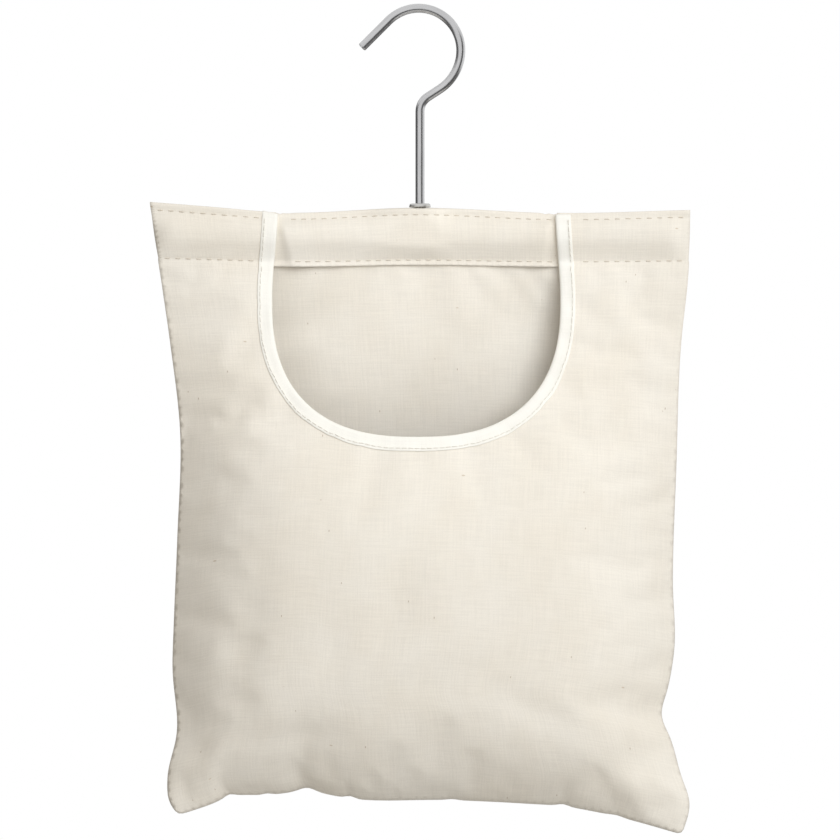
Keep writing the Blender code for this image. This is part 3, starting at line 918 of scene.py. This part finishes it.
def wire_line():
    """The wire's middle line, from the cut tip over the bend and through the neck to the shank's end."""
    centre = Vector((BEND_CENTRE_X, 0.0, WIRE_RADIUS - UPPER_BEND_RADIUS))
    lower_centre = centre + Vector((UPPER_BEND_RADIUS - LOWER_BEND_RADIUS, 0.0, 0.0))

    def arc(middle, radius, start, end, steps):
        """Points on an arc in the hook's plane."""
        turns = [mix(start, end, i / steps) for i in range(steps + 1)]
        return [middle + radius * Vector((math.cos(t), 0.0, math.sin(t))) for t in turns]

    bend = arc(centre, UPPER_BEND_RADIUS, BEND_START, 0.0, 90)
    bend += arc(lower_centre, LOWER_BEND_RADIUS, 0.0, BEND_END, 40)[1:]
    tip_way = Vector((-math.sin(BEND_START), 0.0, math.cos(BEND_START)))
    leave = Vector((math.sin(BEND_END), 0.0, -math.cos(BEND_END)))
    half_turn = 0.5 * leave.angle(Vector((0.0, 0.0, -1.0)))
    corner = bend[-1] + leave * (bend[-1].x / -leave.x)
    neck_start = corner - leave * NECK_RADIUS * math.tan(half_turn)
    side = Vector((-leave.z, 0.0, leave.x))
    neck_centre = neck_start + side * NECK_RADIUS
    arm = neck_start - neck_centre
    begin = math.atan2(arm.z, arm.x)
    neck = arc(neck_centre, NECK_RADIUS, begin, begin + 2.0 * half_turn, 24)
    low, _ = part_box("hook")
    return [bend[0] + tip_way * TIP_LENGTH] + bend + neck + [Vector((0.0, 0.0, low.z))]


def make_hook():
    line = [Vector(p) for p in respaced([tuple(p) for p in wire_line()], 420)]
    step = line_length([tuple(p) for p in line]) / (len(line) - 1)
    # The cut tip and the shank's end have a small chamfer
    ends = {0: 0.80, len(line) - 1: 0.84}
    across = Vector((0.0, 1.0, 0.0))
    points, uvs = [], []
    for i, centre in enumerate(line):
        up = way_along(line, i).cross(across)
        points += ring(centre, WIRE_RADIUS * ends.get(i, 1.0), across, up, WIRE_SIDES)
    faces = wire_faces(0, len(line), WIRE_SIDES)
    around = 2.0 * math.pi * WIRE_RADIUS / WIRE_SIDES
    for i in range(len(line) - 1):
        for side in range(WIRE_SIDES):
            strip = [(side, i), (side + 1, i), (side + 1, i + 1), (side, i + 1)]
            uvs.append([(around * s, step * r) for s, r in strip])
    last = (len(line) - 1) * WIRE_SIDES
    faces.append(tuple(range(WIRE_SIDES)))
    faces.append(tuple(last + side for side in reversed(range(WIRE_SIDES))))
    uvs += [[(points[k].x, points[k].z) for k in face] for face in faces[-2:]]
    made = add_mesh("hook_wire", points, faces)
    layer = made.data.uv_layers.new(name="Wire")
    for face, corners in zip(made.data.polygons, uvs):
        for loop, uv in zip(face.loop_indices, corners):
            layer.data[loop].uv = uv
        face.use_smooth = len(corners) == 4
    made.data.validate()
    finish_piece(made, "hook", "steel", "hook")


def lathe(name, profile, steps=72):
    """A ring turned about the shank from (radius, z) points that run round its section."""
    points, faces = [], []
    count = len(profile)
    for i in range(steps):
        turn = 2.0 * math.pi * i / steps
        points += [(r * math.cos(turn), r * math.sin(turn), z) for r, z in profile]
        for k in range(count):
            a, b = i * count + k, i * count + (k + 1) % count
            c, d = (i + 1) % steps * count + (k + 1) % count, (i + 1) % steps * count + k
            faces.append((a, d, c, b))
    made = add_mesh(name, points, faces)
    made.data.shade_smooth()
    return made


# The eyelet's section: its bore, its rolled crown and the outside of its barrel
BORE = 2.72 * MM
CROWN_MIDDLE = 4.15 * MM
CROWN_HALF = 1.15 * MM
CROWN_RISE = 0.75 * MM
BARREL = 3.0 * MM
# Its rim: (distance in from the edge, height over the cloth), in mm
RIM = [(0.05, 0.55), (0.0, 0.25), (0.15, 0.0)]


def make_eyelet():
    low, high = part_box("eyelet")
    seat = TOP + 0.1 * MM
    profile = [(BORE, low.z), (BORE, high.z - 0.5 * MM), (BORE + 0.13 * MM, high.z - 0.12 * MM)]
    for turn in np.linspace(math.pi, 0.0, 12):
        crown = high.z - CROWN_RISE + CROWN_RISE * math.sin(turn)
        profile.append((CROWN_MIDDLE + CROWN_HALF * math.cos(turn), crown))
    profile += [(high.x - inward * MM, seat + up * MM) for inward, up in RIM]
    profile += [(BARREL + 0.1 * MM, seat), (BARREL, seat - 0.1 * MM), (BARREL, low.z)]
    finish_piece(lathe("eyelet_ring", profile), "bag", "plated", "eyelet")


# ---- Finishes --------------------------------------------------------------------------------


class Nodes:
    """A node tree being built: each socket is given a value or another node's output."""

    def __init__(self, tree):
        self.tree = tree

    def node(self, kind, settings=None, **inputs):
        """Adds a node. An input is named for its socket, or i0, i1, ... for the socket's place."""
        made = self.tree.nodes.new(kind)
        for key, value in (settings or {}).items():
            setattr(made, key, value)
        for key, value in inputs.items():
            place = int(key[1:]) if key[0] == "i" and key[1:].isdigit() else key.replace("_", " ")
            self.feed(made.inputs[place], value)
        return made

    def feed(self, socket, value):
        if isinstance(value, bpy.types.NodeSocket):
            self.tree.links.new(value, socket)
        else:
            socket.default_value = value

    def math(self, operation, a, b=0.0):
        return self.node("ShaderNodeMath", {"operation": operation}, i0=a, i1=b).outputs[0]

    def spread(self, value, low, high, to_low=0.0, to_high=1.0):
        """A smooth step from one value to another as the input goes from low to high."""
        settings = {"clamp": True, "interpolation_type": "SMOOTHSTEP"}
        made = self.node("ShaderNodeMapRange", settings, i0=value, i1=low, i2=high, i3=to_low, i4=to_high)
        return made.outputs[0]

    def blend(self, factor, a, b, mode="MIX"):
        made = self.node("ShaderNodeMix", {"data_type": "RGBA", "blend_type": mode}, i0=factor, i6=a, i7=b)
        return made.outputs[2]

    def grey(self, value):
        return self.node("ShaderNodeCombineColor", i0=value, i1=value, i2=value).outputs[0]


class Finish(Nodes):
    """A material being built."""

    def __init__(self, name, **sockets):
        self.material = bpy.data.materials.new(name)
        self.material.use_nodes = True
        super().__init__(self.material.node_tree)
        self.shader = self.tree.nodes["Principled BSDF"]
        for socket, value in sockets.items():
            self.shader.inputs[socket.replace("_", " ")].default_value = value

    def set(self, socket, value):
        self.feed(self.shader.inputs[socket], value)

    def solid(self):
        """Coordinates in the piece itself, in metres."""
        return self.node("ShaderNodeTexCoord").outputs["Object"]

    def place(self, scale):
        """Coordinates on the cloth, in units of 1 / scale millimetres."""
        uv = self.node("ShaderNodeUVMap")
        scaled = [1.0 / MM * s for s in scale] + [1.0]
        return self.node("ShaderNodeMapping", Vector=uv.outputs[0], Scale=scaled).outputs[0]

    def noise(self, scale, detail, roughness, offset=0.0):
        """Noise from 0 to 1; scale is the number of bumps per millimetre along u and v."""
        shifted = self.node(
            "ShaderNodeVectorMath", {"operation": "ADD"}, i0=self.place(scale), i1=(offset, offset, offset)
        )
        made = self.node(
            "ShaderNodeTexNoise", Vector=shifted.outputs[0], Scale=1.0, Detail=detail, Roughness=roughness
        )
        return made.outputs[0]

    def toned(self, colour, tone):
        """Sets the colour, made lighter or darker from place to place by a tone around 1."""
        self.set("Base Color", self.blend(1.0, colour, self.grey(tone), "MULTIPLY"))

    def bump(self, height, distance, strength, below=None):
        made = self.node("ShaderNodeBump", Height=height, Distance=distance, Strength=strength)
        if below is not None:
            self.feed(made.inputs["Normal"], below)
        return made.outputs[0]


def weave(finish, pitch):
    """Height of a plain weave with threads that far apart, in millimetres."""
    split = finish.node("ShaderNodeSeparateXYZ", Vector=finish.place((math.pi / pitch, math.pi / pitch)))
    across, down = split.outputs[0], split.outputs[1]
    warp = finish.math("ABSOLUTE", finish.math("SINE", across))
    weft = finish.math("ABSOLUTE", finish.math("SINE", down))
    over = finish.math("MULTIPLY", finish.math("COSINE", across), finish.math("COSINE", down))
    lift = finish.math("MULTIPLY", over, 0.35)
    a = finish.math("MULTIPLY", warp, finish.math("ADD", 0.65, lift))
    b = finish.math("MULTIPLY", weft, finish.math("SUBTRACT", 0.65, lift))
    return finish.math("MAXIMUM", a, b)


# Seed flecks in unbleached cotton: cells per millimetre across and down, share left plain, colour
SEEDS = [
    ((0.16, 0.072), 0.62, (0.33, 0.22, 0.13, 1)),
    ((0.044, 0.11), 0.72, (0.50, 0.38, 0.25, 1)),
]


def woven(name, light, dark, pitch, slub, flecks=()):
    """Plain-woven cotton: threads, thick and thin places, soft blotches and seed flecks."""
    finish = Finish(name, Roughness=0.9, Specular_IOR_Level=0.25, Sheen_Weight=0.12, Sheen_Roughness=0.5)
    blotch = finish.spread(finish.noise((0.022, 0.018), 3.0, 0.6), 0.3, 0.72)
    weft = finish.noise((0.055, 1.15), 2.0, 0.6, 11.0)
    warp = finish.noise((1.15, 0.05), 2.0, 0.6, 23.0)
    grain = finish.noise((1.3, 1.3), 2.0, 0.6, 5.0)
    colour = finish.blend(finish.math("MULTIPLY", blotch, 0.55), (*light, 1), (*dark, 1))
    yarns = finish.math("ADD", weft, warp)
    threads = finish.math("ADD", yarns, finish.math("MULTIPLY", grain, 0.8))
    shade = finish.spread(threads, 0.95, 1.85, 1.0 - slub, 1.0 + 0.6 * slub)
    colour = finish.blend(1.0, colour, finish.grey(shade), "MULTIPLY")
    for scale, amount, dye in flecks:
        cells = finish.node("ShaderNodeTexVoronoi", Vector=finish.place(scale), Scale=1.0)
        chosen = finish.node("ShaderNodeSeparateColor", Color=cells.outputs["Color"]).outputs[0]
        rare = finish.math("GREATER_THAN", chosen, amount)
        spot = finish.spread(cells.outputs["Distance"], 0.03, 0.055, 1.0, 0.0)
        mark = finish.math("MULTIPLY", finish.math("MULTIPLY", spot, rare), 0.55)
        colour = finish.blend(mark, colour, dye)
    finish.set("Base Color", colour)
    thick = finish.bump(yarns, 0.12 * MM, 0.5)
    finish.set("Normal", finish.bump(weave(finish, pitch), 0.06 * MM, 0.6, thick))
    return finish.material


def spun(name, colour):
    """Sewing thread, with the slant of its twist."""
    finish = Finish(name, Base_Color=(*colour, 1), Roughness=0.7, Sheen_Weight=0.2, Specular_IOR_Level=0.3)
    settings = {"wave_type": "BANDS", "bands_direction": "DIAGONAL"}
    twist = finish.node("ShaderNodeTexWave", settings, Vector=finish.solid(), Scale=900.0, Distortion=1.5)
    strands = twist.outputs["Fac"]
    finish.toned((*colour, 1), finish.spread(strands, 0.2, 0.8, 0.82, 1.08))
    finish.set("Normal", finish.bump(strands, 0.05 * MM, 0.6))
    return finish.material


def brushed(name, colour, roughness, streak):
    """Steel drawn through a die, with fine scratches along the wire."""
    finish = Finish(name, Base_Color=(*colour, 1), Metallic=1.0, Roughness=roughness)
    lines = finish.noise((streak, 0.02), 3.0, 0.7)
    soft = finish.noise((0.5, 0.05), 2.0, 0.5, 17.0)
    finish.toned((*colour, 1), finish.spread(finish.math("ADD", lines, soft), 0.7, 1.35, 0.86, 1.06))
    finish.set("Roughness", finish.spread(lines, 0.3, 0.7, roughness - 0.03, roughness + 0.05))
    finish.set("Normal", finish.bump(lines, 0.01 * MM, 0.2))
    return finish.material


def plated(name, colour, roughness):
    """Bright plating with faint handling marks."""
    finish = Finish(name, Base_Color=(*colour, 1), Metallic=1.0, Roughness=roughness)
    marks = finish.node("ShaderNodeTexNoise", Vector=finish.solid(), Scale=700.0, Detail=4.0).outputs[0]
    finish.set("Roughness", finish.spread(marks, 0.3, 0.75, roughness, roughness + 0.18))
    finish.set("Normal", finish.bump(marks, 0.02 * MM, 0.3))
    return finish.material


def beech(name):
    """Planed beech: long grain with short dark flecks."""
    finish = Finish(name, Roughness=0.55, Specular_IOR_Level=0.35)
    grain, ray = (
        finish.node(
            "ShaderNodeTexNoise",
            Vector=finish.node("ShaderNodeMapping", Vector=finish.solid(), Scale=scale).outputs[0],
            Scale=1.0,
            Detail=detail,
            Roughness=roughness,
        ).outputs[0]
        for scale, detail, roughness in (
            ((18.0, 420.0, 420.0), 5.0, 0.65),
            ((160.0, 1500.0, 1500.0), 2.0, 0.5),
        )
    )
    wood = finish.blend(finish.spread(grain, 0.32, 0.7), (0.60, 0.41, 0.24, 1), (0.74, 0.56, 0.37, 1))
    dark = finish.spread(ray, 0.66, 0.74, 0.0, 0.5)
    finish.set("Base Color", finish.blend(dark, wood, (0.36, 0.22, 0.12, 1)))
    finish.set("Normal", finish.bump(grain, 0.08 * MM, 0.4))
    return finish.material


MATERIALS = {
    "canvas": woven("Natural_canvas", (0.86, 0.815, 0.735), (0.805, 0.745, 0.645), 0.72, 0.05, SEEDS),
    "tape": woven("Ivory_twill_tape", (0.93, 0.915, 0.86), (0.90, 0.875, 0.81), 0.5, 0.025),
    "thread": spun("Natural_thread", (0.71, 0.645, 0.55)),
    "tape_thread": spun("Ivory_thread", (0.86, 0.83, 0.76)),
    "steel": brushed("Brushed_steel_wire", (0.66, 0.66, 0.67), 0.2, 2.6),
    "plated": plated("Nickel_plating", (0.66, 0.65, 0.63), 0.16),
    "wood": beech("Beech_bar"),
}
for node, finish_name in (
    ("swivel_washer", "plated"),
    ("push_nut", "plated"),
    ("eyelet_washer", "plated"),
    ("hanger_bar", "wood"),
):
    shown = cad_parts[node]
    shown.data.materials.clear()
    shown.data.materials.append(MATERIALS[finish_name])


# ---- The bag ---------------------------------------------------------------------------------

front = Cloth("front_panel_cloth", FRONT, True)
back = Cloth("back_panel_cloth", BACK, False)
finish_piece(front.piece, "bag", "canvas", "front_panel")
finish_piece(back.piece, "bag", "canvas", "back_panel")
binding, edge_line, edge_away = make_binding(front)

OUT = 0.5 * CANVAS
SHOULDER_IN = 81.5 * MM
SHOULDER_OUT = 135.5 * MM


def row(sign, v, inner, outer):
    return [(sign * mix(inner, outer, i / 12), v) for i in range(13)]


for side, sign in (("left", -1.0), ("right", 1.0)):
    for place, v in (("top", TOP_STITCH), ("hem", HEM)):
        sew(f"thread_{place}_{side}", front.at, row(sign, v, SHOULDER_IN, SHOULDER_OUT), OUT, "thread")
MIDDLE = 68.0 * MM
for name, v in (("thread_top_middle", -TOP_STITCH), ("thread_casing", -HEM)):
    sew(name, back.at, row(1.0, v, -MIDDLE, MIDDLE), OUT, "thread")
for name, v in (("bobbin_top", TOP_STITCH), ("bobbin_casing", HEM)):
    sew(name, back.at, row(1.0, v, -SHOULDER_OUT, SHOULDER_OUT), OUT, "thread")

TAPE_STITCH = 5.6 * MM
below_hem_rows = edge_line[:, 1] > HEM_DEPTH
tape_row = (edge_line + TAPE_STITCH * edge_away)[below_hem_rows]
TAPE_TOP = OUT + 0.86 * MM
sew(
    "thread_binding",
    front.at,
    tape_row,
    TAPE_TOP,
    "tape_thread",
    radius=0.2 * MM,
    length=2.6 * MM,
    pitch=3.4 * MM,
)
for side, sign in (("left", -1.0), ("right", 1.0)):
    drops = evenly(4.0 * MM, HEM + 1.0 * MM, 2.0 * MM)
    line = [(u_edge(v, sign, CUT_SETBACK + TAPE_STITCH), v) for v in drops]
    sew(
        f"thread_end_{side}",
        front.at,
        line,
        TAPE_TOP,
        "tape_thread",
        radius=0.24 * MM,
        length=2.6 * MM,
        pitch=3.2 * MM,
    )


def seam_surface(u, v):
    """Places on the turned-in allowance, just inside the seam, facing into the bag."""
    x, z = hang(0.5 + 0.5 * u / HALF, (v - HEM) / (LENGTH - HEM))
    return Vector((x, -BACK_DEPTH * 0.5 + unevenness(x, z), z)), Vector((0.0, -1.0, 0.0))


INSET = 3.2 * MM
for side, sign in (("left", -1.0), ("right", 1.0)):
    line = [(sign * (HALF - INSET), v) for v in evenly(HEM + 6.0 * MM, LENGTH - 8.0 * MM, 6.0 * MM)]
    sew(f"thread_side_{side}", seam_surface, line, OUT, "thread")
line = [(u, LENGTH - INSET) for u in evenly(-HALF + 8.0 * MM, HALF - 8.0 * MM, 6.0 * MM)]
sew("thread_bottom", seam_surface, line, OUT, "thread")

make_hook()
make_eyelet()

# ---- The opening's cut edge in the flat ------------------------------------------------------

opening_flat = np.array(sum((list(part) for part in opening_edge(hem_rows(FRONT.turn), CUT_SETBACK)), []))

# ---- Floor, light and camera -----------------------------------------------------------------

FLOOR_Z = -1.5
FLOOR_RADIUS = 1.45
FRAME_WIDTH = 0.4278
FRAME_CENTRE = Vector((0.0, 0.0, -0.2074))
DISTANCE = 3.0
SENSOR = 36.0

# The room's light on the cloth: its strength, where it is brightest, and its two colours
SKY_LIGHT = 0.62
LIT_FROM = Vector((0.40, -0.76, 0.51))
SKY_DIM = (0.13, 0.105, 0.08, 1.0)
SKY_BRIGHT = (1.0, 0.96, 0.895, 1.0)
# The panels that metal reflects: the turns between which each lies, in radians, and their light
PANELS = [(-1.12, 0.40), (1.2, math.pi)]
PANEL_EDGE = 0.07
PANEL_LIGHT = 0.75
GAP_LIGHT = 0.14


def make_floor():
    mesh = bmesh.new()
    bmesh.ops.create_circle(mesh, cap_ends=True, radius=FLOOR_RADIUS, segments=128)
    data = bpy.data.meshes.new("floor")
    mesh.to_mesh(data)
    mesh.free()
    floor = add_object("floor", data)
    floor.location.z = FLOOR_Z
    pale = Finish("Pale_floor", Base_Color=(0.72, 0.72, 0.71, 1), Roughness=0.8)
    data.materials.append(pale.material)


def add_lamp(name, kind, place, aim, power):
    """A lamp that metal doesn't reflect, because the sky's panels do that."""
    data = bpy.data.lights.new(name, kind)
    data.energy = power
    lamp = add_object(name, data)
    lamp.location = place
    lamp.visible_glossy = False
    lamp.rotation_euler = (Vector(aim) - Vector(place)).to_track_quat("-Z", "Y").to_euler()
    return data


def soft_light(name, place, size, power, colour=(1.0, 1.0, 1.0)):
    """A broad round lamp aimed at the middle of the picture."""
    data = add_lamp(name, "AREA", place, FRAME_CENTRE, power)
    data.shape = "DISK"
    data.size = size
    data.color = colour


def narrow_light(name, place, aim, radius, power):
    """A lamp with a soft-edged beam of the given radius where it lands."""
    data = add_lamp(name, "SPOT", place, aim, power)
    data.spot_size = 2.0 * math.atan(radius / (Vector(aim) - Vector(place)).length)
    data.spot_blend = 1.0
    data.shadow_soft_size = 0.1


def soft_room(sky, way):
    """The room's light on the cloth: brightest from one side, warm and dim from the other."""
    lit = sky.node("ShaderNodeVectorMath", {"operation": "DOT_PRODUCT"}, i0=way, i1=LIT_FROM)
    tint = sky.blend(sky.spread(lit.outputs["Value"], -0.9, 0.9), SKY_DIM, SKY_BRIGHT)
    return sky.node("ShaderNodeBackground", Color=tint, Strength=SKY_LIGHT).outputs[0]


def reflected_room(sky, way):
    """What bright metal reflects: two long pale panels with dark gaps between them."""
    x, y, z = sky.node("ShaderNodeSeparateXYZ", Vector=way).outputs
    turn = sky.math("ARCTAN2", sky.math("SUBTRACT", x, z), sky.math("MULTIPLY", y, -1.0))
    light = 0.0
    for low, high in PANELS:
        rise = sky.spread(turn, low - PANEL_EDGE, low + PANEL_EDGE)
        fall = sky.spread(turn, high - PANEL_EDGE, high + PANEL_EDGE, 1.0, 0.0)
        light = sky.math("ADD", light, sky.math("MULTIPLY", rise, fall))
    light = sky.math("MAXIMUM", light, sky.spread(z, 0.2, 0.5))
    light = sky.math("MULTIPLY", light, sky.spread(z, -0.45, -0.2))
    level = sky.math("ADD", sky.math("MULTIPLY", light, PANEL_LIGHT), GAP_LIGHT)
    return sky.node("ShaderNodeBackground", Color=sky.grey(level)).outputs[0]


def make_sky():
    """White behind the object, soft light on it, and panels for its metal to reflect."""
    world = bpy.data.worlds.new("Studio")
    bpy.context.scene.world = world
    world.use_nodes = True
    world.node_tree.nodes.clear()
    sky = Nodes(world.node_tree)
    way = sky.node("ShaderNodeTexCoord").outputs["Generated"]
    seen = sky.node("ShaderNodeLightPath").outputs
    light = soft_room(sky, way)
    white = sky.node("ShaderNodeBackground", Color=(1.0, 1.0, 1.0, 1.0)).outputs[0]
    for ray, shader in (("Is Glossy Ray", reflected_room(sky, way)), ("Is Camera Ray", white)):
        light = sky.node("ShaderNodeMixShader", i0=seen[ray], i1=light, i2=shader).outputs[0]
    sky.node("ShaderNodeOutputWorld", Surface=light)


def make_camera():
    data = bpy.data.cameras.new("camera")
    data.sensor_width = SENSOR
    data.lens = SENSOR * DISTANCE / FRAME_WIDTH
    data.clip_end = 20.0
    camera = add_object("camera", data)
    camera.location = FRAME_CENTRE + Vector((0.0, -DISTANCE, 0.0))
    camera.rotation_euler = (0.5 * math.pi, 0.0, 0.0)
    bpy.context.scene.camera = camera


make_floor()
make_sky()
soft_light("key", (0.98, -2.1, 0.85), size=2.0, power=40.0, colour=(0.96, 1.0, 1.05))
soft_light("rear", (-0.9, 2.3, -0.2), size=2.0, power=30.0)
narrow_light("inside", (0.0, -2.6, 0.1), aim=(0.0, 0.0, -0.166), radius=0.070, power=85.0)
make_camera()
bpy.context.scene.view_settings.view_transform = "Standard"
